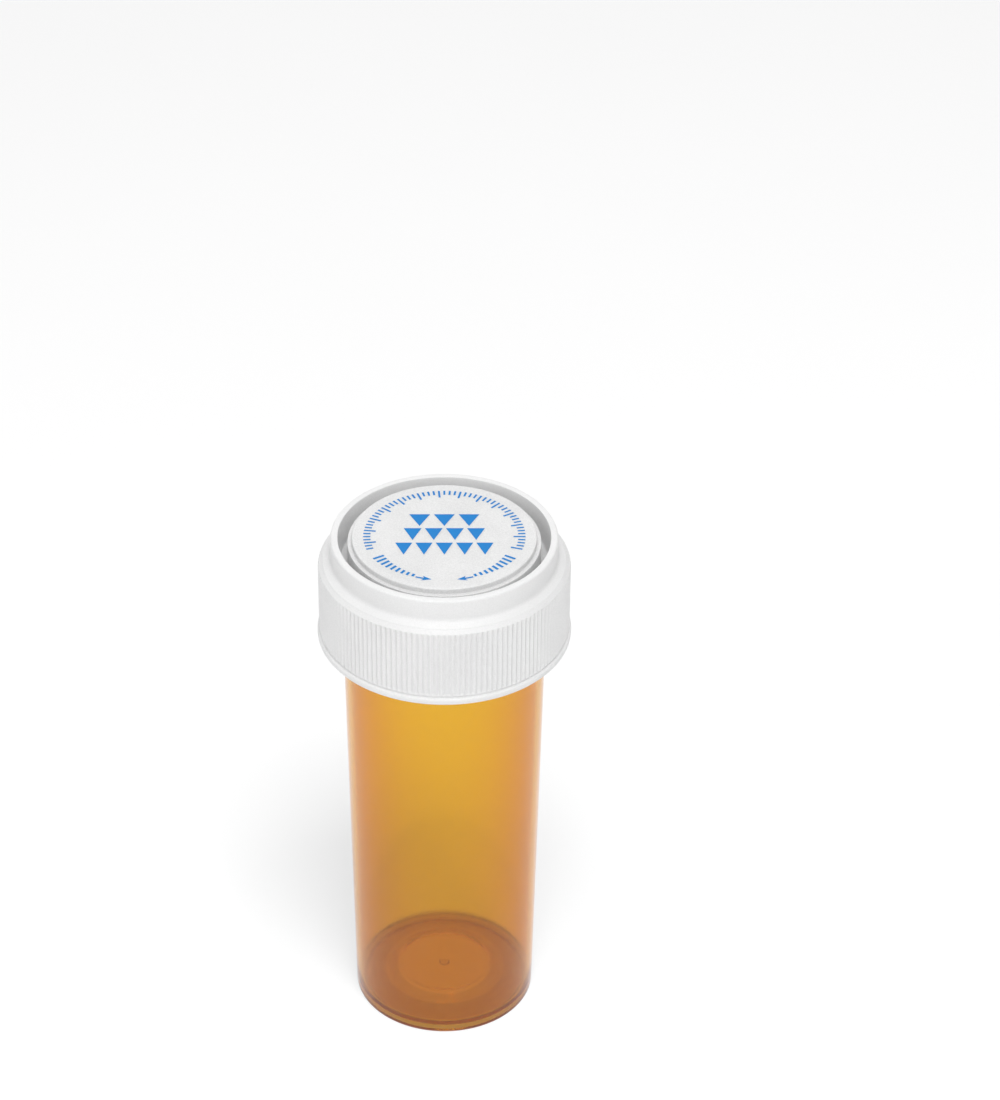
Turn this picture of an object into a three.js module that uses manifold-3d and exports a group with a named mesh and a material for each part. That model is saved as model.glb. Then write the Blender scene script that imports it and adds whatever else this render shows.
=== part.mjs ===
// A prescription vial: a translucent amber tube with a reversible child-resistant cap.
// Millimetres, +Z up. The origin is the centre of the face that the vial stands on.
// The cap is modelled pressed down on the vial, with its lugs in the gaps between the neck lugs.

import * as THREE from "three";
import { mergeVertices } from "three/addons/utils/BufferGeometryUtils.js";
import Module from "manifold-3d";

const wasm = await Module();
wasm.setup();

// ---------- driving dimensions ----------

// vial body
const rimHeight = 83; // standing face to the rim that the cap seals on
const footRadius = 15.04; // outer wall at the standing face
const wallDraft = 0.018; // radius gained per millimetre of height, so that the tube leaves its mould
const vialWall = 1.2;
const floorThickness = 1.9;
const footCornerRadius = 0.9;
const insideCornerRadius = 1.6;
const footRecessDepth = 0.8; // the underside is lifted, so that only a ring touches the table
const standingRingInset = 1.14; // from the outer wall at the foot
const standingRingWidth = 1.7;
const recessStepRadius = 8;
const recessStepHeight = 0.25;
const gateRadius = 1.1; // the moulding gate at the centre of the underside
const gateHeight = 0.3;

// thread round the rim, for the cap's easy-open side
const threadSectionRadius = 0.6;
const threadProud = 0.34;
const threadLead = 1.9;
const threadTurns = 0.9;
const threadTopBelowRim = 0.9;

// locking lugs on the neck and inside the skirt
const lugCount = 6;
const neckLugAngle = 30;
const neckLugHeight = 3;
const notchAngle = 18;
const notchDepth = 1.6;
const stopLegAngle = 4;
const stopLegLength = 2.2;
const capLugAngle = 14;
const capLugHeight = 2.2;
const capLugSetback = 0.45; // above the skirt's lower edge

// cap shell
const skirtRoom = 2.07; // from the rim's outer wall to the skirt's inner wall
const skirtWall = 1.25; // to the root of the knurl
const knurlDepth = 0.27;
const knurlBacking = 0.2; // how far the knurl's band reaches into the wall behind it
const knurlRibs = 144;
const flangeProud = 0.28; // past the ribs' tips
const flangeHeight = 1.05;
const flangeNeckHeight = 0.5; // from the flange's bead up to the start of the knurl
const skirtDepth = 11.35; // skirt's lower edge to the underside of the web
const webThickness = 1.5;
const collarRoom = 0.356; // from the rim's outer wall to the collar's inner wall, for the rim's thread
const collarWall = 1.17;
const collarHeight = 5.5; // above the web's upper face
const shoulderEdgeRadius = 0.6;
const shoulderEdgeInset = 0.1; // from the ribs' tips
const shoulderRise = 0.6;
const shoulderThickness = 3.4; // web's underside to the foot of the collar
const collarFillet = 0.6;
const collarThreadProud = 0.34;
const collarThreadAngle = 56;
const collarThreadHeight = 1.1;
const collarThreadAboveWeb = 0.9;

// printed plug, snapped in through the web
const plugGrip = 0.016; // the plug is this much wider than the mouth that it fits when the cap is turned over
const plugShelf = 1.35; // how far the plug rests on the web round its hole
const plugNeckWall = 1.05;
const plugLedgeDepth = 0.85;
const plugLedgeWidth = 0.65;
const plugTopThickness = 1.3;
const snapBeadProud = 0.75;
const snapBeadHeight = 1.1;
const plugNoseHeight = 0.5;

// resilient seal between the rim and the web
const sealThickness = 1.1;
const sealWebThickness = 0.7;
const sealOverhang = 0.9; // past the rim's outer edge
const sealPadMargin = 0.25; // the pad is this much wider than the rim on each side

// clearances between pieces
const seatGap = 0.2; // pieces that rest on each other
const snapGap = 0.15; // plug neck in the web's hole, and cap lugs past the thread
const runGap = 0.3; // lugs that turn past each other
const lugSideGap = 0.45; // neck lugs inside the skirt

// how finely round surfaces are cut
const roundSteps = 60;
const arcSteps = 3;

// ---------- sizes that follow ----------

const outerRadiusAt = (z) => footRadius + wallDraft * z;
const innerRadiusAt = (z) => outerRadiusAt(z) - vialWall;
const rimOuterRadius = outerRadiusAt(rimHeight);
const rimInnerRadius = innerRadiusAt(rimHeight);
const vialFloorHeight = footRecessDepth + floorThickness;

const standingRingOuter = footRadius - standingRingInset;
const standingRingInner = standingRingOuter - standingRingWidth;

const sealBottom = rimHeight + seatGap;
const sealTop = sealBottom + sealThickness;
const webBottom = sealTop + seatGap;
const webTop = webBottom + webThickness;
const collarTop = webTop + collarHeight;
const collarInnerRadius = rimOuterRadius + collarRoom;
const collarOuterRadius = collarInnerRadius + collarWall;

const skirtBottom = webBottom - skirtDepth;
const skirtInnerRadius = rimOuterRadius + skirtRoom;
const knurlRootRadius = skirtInnerRadius + skirtWall;
const knurlTipRadius = knurlRootRadius + knurlDepth;
const flangeRadius = knurlTipRadius + flangeProud;
const shoulderTop = webBottom + shoulderThickness;
const knurlBottom = skirtBottom + flangeHeight + flangeNeckHeight;
const knurlTop = shoulderTop - shoulderRise - shoulderEdgeRadius;

const plugRadius = rimInnerRadius + plugGrip;
const webHoleRadius = plugRadius - plugShelf;
const plugNeckRadius = webHoleRadius - snapGap;
const plugHollowRadius = plugNeckRadius - plugNeckWall;
const snapBeadTop = sealBottom - seatGap;
const plugNeckBottom = snapBeadTop - snapBeadHeight - plugNoseHeight;

const lugPitch = 360 / lugCount;
const capLugBottom = skirtBottom + capLugSetback;
const capLugTop = capLugBottom + capLugHeight;
const capLugRadius = rimOuterRadius + threadProud + snapGap;
const neckLugBottom = capLugTop + runGap;
const neckLugTop = neckLugBottom + neckLugHeight;
const neckLugRadius = skirtInnerRadius - lugSideGap;

// ---------- helpers ----------

const radians = THREE.MathUtils.degToRad;

// A geometry with only its positions, so that shared corners can be merged.
function bare(geometry) {
  geometry.deleteAttribute("normal");
  geometry.deleteAttribute("uv");
  return mergeVertices(geometry, 1e-4);
}

function toSolid(geometry) {
  const merged = bare(geometry);
  const mesh = new wasm.Mesh({
    numProp: 3,
    vertProperties: new Float32Array(merged.attributes.position.array),
    triVerts: new Uint32Array(merged.index.array),
  });
  return new wasm.Manifold(mesh);
}

function toGeometry(solid) {
  const mesh = solid.getMesh();
  const geometry = new THREE.BufferGeometry();
  geometry.setAttribute("position", new THREE.BufferAttribute(mesh.vertProperties, 3));
  geometry.setIndex(new THREE.BufferAttribute(mesh.triVerts, 1));
  geometry.computeVertexNormals();
  return geometry;
}

// Points of [radius, height] on an arc, from one angle to another in degrees.
function arc(radius, height, size, from, to, steps = arcSteps) {
  return Array.from({ length: steps + 1 }, (_, i) => {
    const angle = radians(from + ((to - from) * i) / steps);
    return [radius + size * Math.cos(angle), height + size * Math.sin(angle)];
  });
}

// A profile of [radius, height] points turned about Z. It runs up the outside and down the inside.
function turned(profile) {
  const points = profile.map(([radius, height]) => new THREE.Vector2(radius, height));
  return new THREE.LatheGeometry(points, roundSteps).rotateX(Math.PI / 2);
}

// The same for a ring, whose profile closes on itself.
const turnedRing = (profile) => turned([...profile, profile[0]]);

// A block between two radii and two heights, centred on an angle in degrees.
function sector(innerRadius, outerRadius, low, high, centre, width) {
  const from = radians(centre - width / 2);
  const to = radians(centre + width / 2);
  const outline = new THREE.Shape();
  outline.absarc(0, 0, outerRadius, from, to, false);
  outline.absarc(0, 0, innerRadius, to, from, true);
  outline.closePath();
  const options = { depth: high - low, bevelEnabled: false, curveSegments: arcSteps };
  return toSolid(new THREE.ExtrudeGeometry(outline, options).translate(0, 0, low));
}

const joined = (solids) => solids.reduce((whole, next) => whole.add(next));

// ---------- vial body ----------

// A thread's centre line: a helix that rises about Z.
class Helix extends THREE.Curve {
  constructor(radius, low, lead, turns) {
    super();
    Object.assign(this, { radius, low, lead, turns });
  }

  getPoint(t, target = new THREE.Vector3()) {
    const angle = 2 * Math.PI * this.turns * t;
    const height = this.low + this.lead * this.turns * t;
    return target.set(this.radius * Math.cos(angle), this.radius * Math.sin(angle), height);
  }
}

function vialTube() {
  const cornerRadius = outerRadiusAt(footCornerRadius) - footCornerRadius;
  const insideCorner = innerRadiusAt(vialFloorHeight) - insideCornerRadius;
  const rimRound = vialWall / 2;
  const rimMiddle = rimOuterRadius - rimRound;
  return toSolid(
    turned([
      [0, footRecessDepth - gateHeight],
      [gateRadius, footRecessDepth - gateHeight],
      [gateRadius, footRecessDepth],
      [recessStepRadius, footRecessDepth],
      [recessStepRadius + recessStepHeight, footRecessDepth - recessStepHeight],
      [standingRingInner - footRecessDepth, footRecessDepth - recessStepHeight],
      [standingRingInner, 0],
      [standingRingOuter, 0],
      ...arc(cornerRadius, footCornerRadius, footCornerRadius, -75, 0),
      ...arc(rimMiddle, rimHeight - rimRound, rimRound, 0, 180, 2 * arcSteps),
      ...arc(insideCorner, vialFloorHeight + insideCornerRadius, insideCornerRadius, 0, -90),
      [0, vialFloorHeight],
    ]),
  );
}

function rimThread() {
  const section = new THREE.Shape();
  section.absarc(0, 0, threadSectionRadius, 0, 2 * Math.PI, false);
  const top = rimHeight - threadTopBelowRim - threadSectionRadius;
  const low = top - threadLead * threadTurns;
  const radius = outerRadiusAt(low) + threadProud - threadSectionRadius;
  const options = {
    steps: Math.round(roundSteps * threadTurns),
    curveSegments: arcSteps,
    bevelEnabled: false,
    extrudePath: new Helix(radius, low, threadLead, threadTurns),
  };
  return toSolid(new THREE.ExtrudeGeometry(section, options));
}

// One neck lug: a block with a notch in its underside and a leg that stops the cap's lug.
function neckLug(centre) {
  const root = outerRadiusAt(neckLugBottom - stopLegLength) - vialWall / 2;
  const legCentre = centre - (neckLugAngle - stopLegAngle) / 2;
  const block = sector(root, neckLugRadius, neckLugBottom, neckLugTop, centre, neckLugAngle);
  const leg = sector(
    root,
    neckLugRadius,
    neckLugBottom - stopLegLength,
    neckLugBottom + notchDepth,
    legCentre,
    stopLegAngle,
  );
  const notch = sector(
    root - vialWall / 4,
    neckLugRadius + runGap,
    neckLugBottom - runGap,
    neckLugBottom + notchDepth,
    centre,
    notchAngle,
  );
  return block.add(leg).subtract(notch);
}

function vialBody() {
  const lugs = Array.from({ length: lugCount }, (_, i) => neckLug((i + 0.5) * lugPitch));
  return joined([vialTube(), rimThread(), ...lugs]);
}

// ---------- cap shell ----------

function capRing() {
  const bead = flangeHeight / 2;
  const beadMiddle = flangeRadius - bead;
  const edgeMiddle = knurlTipRadius - shoulderEdgeInset - shoulderEdgeRadius;
  const wallBehind = knurlRootRadius - knurlBacking;
  const filletMiddle = collarOuterRadius + collarFillet;
  const lip = collarWall / 2;
  const lipMiddle = collarOuterRadius - lip;
  return toSolid(
    turnedRing([
      [skirtInnerRadius, skirtBottom + skirtWall / 2],
      [skirtInnerRadius + skirtWall / 2, skirtBottom],
      ...arc(beadMiddle, skirtBottom + bead, bead, -90, 90, 2 * arcSteps),
      [knurlRootRadius, knurlBottom + knurlBacking],
      [wallBehind, knurlBottom + knurlBacking],
      [wallBehind, knurlTop - knurlBacking],
      [edgeMiddle + shoulderEdgeRadius, knurlTop - knurlBacking],
      ...arc(edgeMiddle, knurlTop, shoulderEdgeRadius, 0, 90),
      ...arc(filletMiddle, shoulderTop + collarFillet, collarFillet, -90, -180),
      ...arc(lipMiddle, collarTop - lip, lip, 0, 180, 2 * arcSteps),
      [collarInnerRadius, webTop],
      [webHoleRadius, webTop],
      [webHoleRadius, webBottom],
      [skirtInnerRadius, webBottom],
    ]),
  );
}

// The knurl's band: a ring whose outline goes in and out once for each rib.
function knurlBand() {
  const outline = new THREE.Shape();
  for (let i = 0; i < 2 * knurlRibs; i++) {
    const angle = (Math.PI * (i + 0.5)) / knurlRibs;
    const radius = i % 2 ? knurlRootRadius : knurlTipRadius;
    const corner = [radius * Math.cos(angle), radius * Math.sin(angle)];
    if (i) outline.lineTo(...corner);
    else outline.moveTo(...corner);
  }
  outline.closePath();
  const bore = new THREE.Path();
  bore.absarc(0, 0, skirtInnerRadius + skirtWall / 2, 0, 2 * Math.PI, true);
  outline.holes.push(bore);
  const options = { depth: knurlTop - knurlBottom, bevelEnabled: false, curveSegments: roundSteps / 2 };
  return toSolid(new THREE.ExtrudeGeometry(outline, options).translate(0, 0, knurlBottom));
}

function capLug(centre) {
  const root = skirtInnerRadius + skirtWall / 2;
  return sector(capLugRadius, root, capLugBottom, capLugTop, centre, capLugAngle);
}

// The thread in the collar is cut into two lengths, on the sides where the mould parts.
function collarThread(centre) {
  const root = collarInnerRadius + collarWall / 2;
  const crest = collarInnerRadius - collarThreadProud;
  const low = webTop + collarThreadAboveWeb;
  return sector(crest, root, low, low + collarThreadHeight, centre, collarThreadAngle);
}

function capShell() {
  const lugs = Array.from({ length: lugCount }, (_, i) => capLug(i * lugPitch));
  return joined([capRing(), knurlBand(), collarThread(90), collarThread(-90), ...lugs]);
}

// ---------- printed plug ----------

function plugDisc() {
  const top = collarTop;
  const faceRadius = plugRadius - plugLedgeWidth;
  const seat = webTop + snapGap;
  const beadMiddle = snapBeadTop - snapBeadHeight / 2;
  return toSolid(
    turned([
      [0, top - plugTopThickness],
      [plugHollowRadius, top - plugTopThickness],
      [plugHollowRadius, plugNeckBottom],
      [plugNeckRadius - plugNoseHeight / 2, plugNeckBottom],
      [plugNeckRadius, snapBeadTop - snapBeadHeight],
      [plugNeckRadius + snapBeadProud, beadMiddle],
      [plugNeckRadius + snapBeadProud, beadMiddle + snapBeadHeight / 4],
      [plugNeckRadius, snapBeadTop],
      [plugNeckRadius, seat],
      [plugRadius, seat],
      [plugRadius, top - plugLedgeDepth],
      [faceRadius, top - plugLedgeDepth],
      [faceRadius, top],
      [0, top],
    ]),
  );
}

// ---------- spring seal ----------

function springSeal() {
  const outerRadius = rimOuterRadius + sealOverhang;
  const webLow = sealTop - sealWebThickness;
  return toSolid(
    turnedRing([
      [webHoleRadius, webLow],
      [rimInnerRadius - sealPadMargin - sealThickness / 4, webLow],
      [rimInnerRadius - sealPadMargin, sealBottom],
      [rimOuterRadius + sealPadMargin, sealBottom],
      [outerRadius, webLow],
      [outerRadius, sealTop],
      [webHoleRadius, sealTop],
    ]),
  );
}

// ---------- materials and assembly ----------

const amberPlastic = new THREE.MeshStandardMaterial({
  color: 0xd98a1f,
  roughness: 0.25,
  metalness: 0,
  transparent: true,
  opacity: 0.75,
});
const whitePlastic = new THREE.MeshStandardMaterial({ color: 0xf4f5f5, roughness: 0.4, metalness: 0 });
const printedPlastic = new THREE.MeshStandardMaterial({ color: 0xe9ebec, roughness: 0.5, metalness: 0 });
const sealPlastic = new THREE.MeshStandardMaterial({ color: 0xe4e6e4, roughness: 0.6, metalness: 0 });

function piece(name, solid, material) {
  const mesh = new THREE.Mesh(toGeometry(solid), material);
  mesh.name = name;
  return mesh;
}

const vial = new THREE.Group();
vial.add(piece("vial_body", vialBody(), amberPlastic));

const cap = new THREE.Group();
cap.add(piece("cap_shell", capShell(), whitePlastic));
cap.add(piece("plug_disc", plugDisc(), printedPlastic));
cap.add(piece("spring_seal", springSeal(), sealPlastic));

const prescriptionVial = new THREE.Group();
prescriptionVial.add(vial, cap);

export default prescriptionVial;
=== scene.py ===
"""The looks of a prescription vial with a reversible child-resistant cap.

The vial, the cap's shell, its printed plug and its spring seal are fine meshes turned about the
vial's axis, with lugs, threads and knurling worked into their walls as relief. Lengths are in
metres, heights are above the face that the vial stands on, and angles are in radians.
"""

import logging
import math
from collections.abc import Callable, Sequence
from dataclasses import dataclass, field
from enum import Enum

import bpy
import numpy as np
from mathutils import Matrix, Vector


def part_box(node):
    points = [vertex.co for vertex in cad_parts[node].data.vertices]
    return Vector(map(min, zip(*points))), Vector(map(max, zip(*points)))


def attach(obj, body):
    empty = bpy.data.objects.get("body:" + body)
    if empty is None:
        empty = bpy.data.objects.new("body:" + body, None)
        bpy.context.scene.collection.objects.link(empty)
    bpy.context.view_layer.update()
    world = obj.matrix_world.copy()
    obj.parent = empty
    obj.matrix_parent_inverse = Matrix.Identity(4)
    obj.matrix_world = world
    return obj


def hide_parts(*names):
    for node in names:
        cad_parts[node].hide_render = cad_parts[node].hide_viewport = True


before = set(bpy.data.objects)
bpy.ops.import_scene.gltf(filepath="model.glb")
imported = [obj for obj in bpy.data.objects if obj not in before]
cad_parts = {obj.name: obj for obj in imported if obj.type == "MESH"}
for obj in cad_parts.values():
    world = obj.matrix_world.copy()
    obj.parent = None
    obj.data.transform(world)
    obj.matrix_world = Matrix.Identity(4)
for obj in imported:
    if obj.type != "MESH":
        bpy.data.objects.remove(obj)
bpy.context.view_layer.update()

LOG = logging.getLogger("prescription_vial")
MM = 0.001
TURN = 2 * math.pi
FRONT = -TURN / 4
# faces that meet at more than this stay sharp
CREASE = math.radians(40)
# half the angle of a corner that is too nearly straight to round
STRAIGHT = math.radians(89)
# the most of an edge that the rounding of one of its corners takes
EDGE_SHARE = 0.49
# the last step along an edge may be this many gaps long
LAST_GAPS = 1.5
# a point nearer than this to a wall is on it
ON_WALL = 0.01 * MM
GRAIN_DETAIL = 3.0
CLOUD_DETAIL = 4.0

Shifted = tuple[np.ndarray, np.ndarray]
Relief = Callable[[np.ndarray, np.ndarray, np.ndarray], Shifted]
Spacing = Callable[[float, float], float]
Colour = tuple[float, float, float, float]
Point = tuple[float, float, float]
Socket = bpy.types.NodeSocket
CLEAR: Colour = (1.0, 1.0, 1.0, 1.0)


class Body(Enum):
    """The bodies that pieces ride on."""

    VIAL = "vial"
    SEAL = "seal"
    CAP = "cap"


def link_object(name: str, data: bpy.types.ID) -> bpy.types.Object:
    """Makes an object of a mesh, a lamp or a camera and links it to the scene.

    Args:
        name: the object's name.
        data: what it shows.

    Returns:
        The object.
    """
    made = bpy.data.objects.new(name, data)
    bpy.context.scene.collection.objects.link(made)
    return made


def mesh_object(name: str, vertices: list[Point], faces: list[tuple[int, ...]]) -> bpy.types.Object:
    """Makes an object with a new mesh.

    Args:
        name: the name of both.
        vertices: the mesh's points.
        faces: the points that each face joins.

    Returns:
        The object.
    """
    mesh = bpy.data.meshes.new(name)
    mesh.from_pydata(vertices, [], faces)
    mesh.update()
    return link_object(name, mesh)


# ---------- outlines and turned meshes ----------


@dataclass(frozen=True)
class Corner:
    """A corner of a turned outline.

    Attributes:
        radius: distance from the axis.
        height: height above the standing face.
        rounding: radius of the arc that replaces the corner, 0 for a sharp one.
    """

    radius: float
    height: float
    rounding: float = 0.0


def corner_points(before: Corner, corner: Corner, after: Corner, steps: int) -> list[np.ndarray]:
    """Rounds one corner.

    Args:
        before: the corner before it.
        corner: the corner to round.
        after: the corner after it.
        steps: how many chords the arc has.

    Returns:
        The arc's points, or the corner itself where it is sharp.
    """
    here = np.array([corner.radius, corner.height])
    back = np.array([before.radius, before.height]) - here
    ahead = np.array([after.radius, after.height]) - here
    back_length, ahead_length = np.linalg.norm(back), np.linalg.norm(ahead)
    if corner.rounding <= 0 or min(back_length, ahead_length) <= 0:
        return [here]
    back, ahead = back / back_length, ahead / ahead_length
    half = math.acos(float(np.clip(back @ ahead, -1, 1))) / 2
    if half > STRAIGHT:
        return [here]
    reach = min(corner.rounding / math.tan(half), EDGE_SHARE * back_length, EDGE_SHARE * ahead_length)
    size = reach * math.tan(half)
    bisector = (back + ahead) / np.linalg.norm(back + ahead)
    centre = here + bisector * size / math.sin(half)
    start, stop = here + back * reach - centre, here + ahead * reach - centre
    first = math.atan2(start[1], start[0])
    sweep = (math.atan2(stop[1], stop[0]) - first + math.pi) % TURN - math.pi
    angles = [first + sweep * i / steps for i in range(steps + 1)]
    return [centre + size * np.array([math.cos(a), math.sin(a)]) for a in angles]


def outline_points(corners: Sequence[Corner], closed: bool, spacing: Spacing, steps: int) -> np.ndarray:
    """Works out an outline's points from its corners.

    Args:
        corners: the corners, up the outside and down the inside.
        closed: whether the last corner joins the first one.
        spacing: the greatest gap between points at a radius and a height.
        steps: how many chords a rounded corner has.

    Returns:
        An array of (radius, height) rows.
    """
    bent: list[np.ndarray] = []
    count = len(corners)
    for i, corner in enumerate(corners):
        if closed or 0 < i < count - 1:
            bent += corner_points(corners[i - 1], corner, corners[(i + 1) % count], steps)
        else:
            bent.append(np.array([corner.radius, corner.height]))
    if closed:
        bent.append(bent[0])
    points = [bent[0]]
    for start, stop in zip(bent, bent[1:]):
        length = float(np.linalg.norm(stop - start))
        at = start
        while length > 0:
            left = float(np.linalg.norm(stop - at))
            gap = spacing(float(at[0]), float(at[1]))
            if left <= LAST_GAPS * gap:
                break
            at = at + (stop - at) * gap / left
            points.append(at)
        points.append(stop)
    return np.array(points[:-1] if closed else points)


def turned_grid(name: str, places: np.ndarray, closed: bool, poles: Sequence[float]) -> bpy.types.Object:
    """Builds a turned object from a grid of places.

    Args:
        name: the object's name.
        places: an array of columns by rows by 3.
        closed: whether the last row joins the first one.
        poles: heights of the points on the axis that close the first and the last row.

    Returns:
        The object, with its faces outwards and smooth except at creases.
    """
    columns, rows = places.shape[:2]
    vertices = [tuple(v) for v in places.reshape(-1, 3).tolist()]
    here = np.arange(columns)[:, None] * rows
    beside = (np.arange(columns)[:, None] + 1) % columns * rows
    row = np.arange(rows if closed else rows - 1)[None, :]
    above = (row + 1) % rows
    quads = np.stack([here + row, beside + row, beside + above, here + above], axis=-1)
    faces = [tuple(q) for q in quads.reshape(-1, 4).tolist()]
    if not closed:
        for height, ring, flipped in ((poles[0], 0, True), (poles[1], rows - 1, False)):
            tip = len(vertices)
            vertices.append((0.0, 0.0, height))
            for i in range(columns):
                a, b = i * rows + ring, (i + 1) % columns * rows + ring
                faces.append((tip, b, a) if flipped else (tip, a, b))
    made = mesh_object(name, vertices, faces)
    made.data.shade_smooth()
    made.data.set_sharp_from_angle(angle=CREASE)
    return made


@dataclass
class Turned:
    """A solid turned about the vial's axis.

    Attributes:
        name: the piece's name.
        corners: its outline.
        closed: whether the outline is a ring's, clear of the axis.
        columns: how many columns the mesh has round the axis.
        spacing: the greatest gap between the outline's points.
        relief: moves each point's radius and height, given its angle, or None for a plain wall.
        corner_steps: how many chords a rounded corner has.
    """

    name: str
    corners: list[Corner]
    closed: bool
    columns: int
    spacing: Spacing
    relief: Relief | None = None
    corner_steps: int = 6

    def build(self) -> bpy.types.Object:
        """Builds the piece and links it.

        Returns:
            The new object.
        """
        outline = outline_points(self.corners, self.closed, self.spacing, self.corner_steps)
        poles = [float(outline[0][1]), float(outline[-1][1])]
        if not self.closed:
            outline = outline[1:-1]
        angle = TURN * np.arange(self.columns)[:, None] / self.columns
        radius = np.broadcast_to(outline[:, 0], (self.columns, len(outline)))
        height = np.broadcast_to(outline[:, 1], radius.shape)
        if self.relief is not None:
            radius, height = self.relief(angle, radius, height)
        places = np.stack([radius * np.cos(angle), radius * np.sin(angle), height], axis=-1)
        return turned_grid(self.name, places, self.closed, poles)


def ramp(value: np.ndarray, low: float, high: float) -> np.ndarray:
    """Rises smoothly from 0 at low to 1 at high."""
    share = np.clip((value - low) / (high - low), 0, 1)
    return share * share * (3 - 2 * share)


def window(value: np.ndarray, low: float, high: float, soft: float) -> np.ndarray:
    """Is 1 between low and high and 0 outside, with edges as wide as soft."""
    half = soft / 2
    return ramp(value, low - half, low + half) * (1 - ramp(value, high - half, high + half))


def from_nearest(angle: np.ndarray, count: int, offset: float) -> np.ndarray:
    """Gives the angle from the nearest of a number of evenly spaced centres, the first at offset."""
    pitch = TURN / count
    return (angle - offset + pitch / 2) % pitch - pitch / 2


# ---------- shader groups and finishes ----------


class Tree:
    """A node tree with short calls to add and link its nodes."""

    def __init__(self, tree: bpy.types.NodeTree) -> None:
        """Holds the tree."""
        self.tree = tree

    def add(self, kind: str, values: dict[str, object] | None = None, **settings: object) -> bpy.types.Node:
        """Adds a node.

        Args:
            kind: the node's type.
            values: the constants of its input sockets, by name.
            settings: the node's own properties.

        Returns:
            The new node.
        """
        node = self.tree.nodes.new(kind)
        for key, value in settings.items():
            setattr(node, key, value)
        for key, value in (values or {}).items():
            node.inputs[key].default_value = value
        return node

    def link(self, source: Socket, target: Socket) -> None:
        """Joins two sockets."""
        self.tree.links.new(source, target)

    def noise(self, vector: Socket, scale: Socket, detail: float) -> Socket:
        """Adds a noise texture.

        Args:
            vector: the place on the surface.
            scale: the socket that gives its scale.
            detail: how many finer layers it has.

        Returns:
            The noise, from 0 to 1.
        """
        node = self.add("ShaderNodeTexNoise", {"Detail": detail})
        self.link(vector, node.inputs["Vector"])
        self.link(scale, node.inputs["Scale"])
        return node.outputs["Fac"]

    def combine(self, operation: str, first: Socket, second: Socket | float) -> Socket:
        """Adds a sum.

        Args:
            operation: the name of the sum.
            first: its first socket.
            second: its second socket or number.

        Returns:
            The result's socket.
        """
        node = self.add("ShaderNodeMath", operation=operation)
        self.link(first, node.inputs[0])
        if isinstance(second, Socket):
            self.link(second, node.inputs[1])
        else:
            node.inputs[1].default_value = second
        return node.outputs[0]

    def mask(self, value: Socket, start: float, stop: float, style: str = "LINEAR") -> Socket:
        """Turns a value into a mask.

        Args:
            value: the value's socket.
            start: the value where the mask is 0.
            stop: the value where it is 1.
            style: how it goes from one to the other.

        Returns:
            The mask's socket.
        """
        limits = {"From Min": start, "From Max": stop}
        node = self.add("ShaderNodeMapRange", limits, interpolation_type=style)
        self.link(value, node.inputs["Value"])
        return node.outputs["Result"]


def moulded_surface_group() -> bpy.types.NodeTree:
    """Builds the shader group of a moulded plastic surface.

    Returns:
        A group that gives a height for the tool's fine grain, a mask of cloudy and speckled
        variation and a roughness, from a grain scale, a cloud scale, how strong the speckle is, a
        roughness and how much it varies.
    """
    group = bpy.data.node_groups.new("moulded_surface", "ShaderNodeTree")
    face = group.interface
    inputs = ("Grain Scale", "Cloud Scale", "Speckle", "Roughness", "Variation")
    outputs = ("Height", "Cloud", "Roughness")
    for way, names in (("INPUT", inputs), ("OUTPUT", outputs)):
        for name in names:
            face.new_socket(name=name, in_out=way, socket_type="NodeSocketFloat")
    tree = Tree(group)
    entry, leave = tree.add("NodeGroupInput"), tree.add("NodeGroupOutput")
    place = tree.add("ShaderNodeTexCoord").outputs["Object"]
    grain = tree.noise(place, entry.outputs["Grain Scale"], GRAIN_DETAIL)
    cloud = tree.noise(place, entry.outputs["Cloud Scale"], CLOUD_DETAIL)
    swing = tree.combine("MULTIPLY", tree.combine("SUBTRACT", cloud, 0.5), entry.outputs["Variation"])
    tree.link(grain, leave.inputs["Height"])
    speckle = tree.combine("MULTIPLY", tree.combine("SUBTRACT", grain, 0.5), entry.outputs["Speckle"])
    tree.link(tree.combine("ADD", cloud, speckle), leave.inputs["Cloud"])
    tree.link(tree.combine("ADD", swing, entry.outputs["Roughness"]), leave.inputs["Roughness"])
    return group


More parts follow.
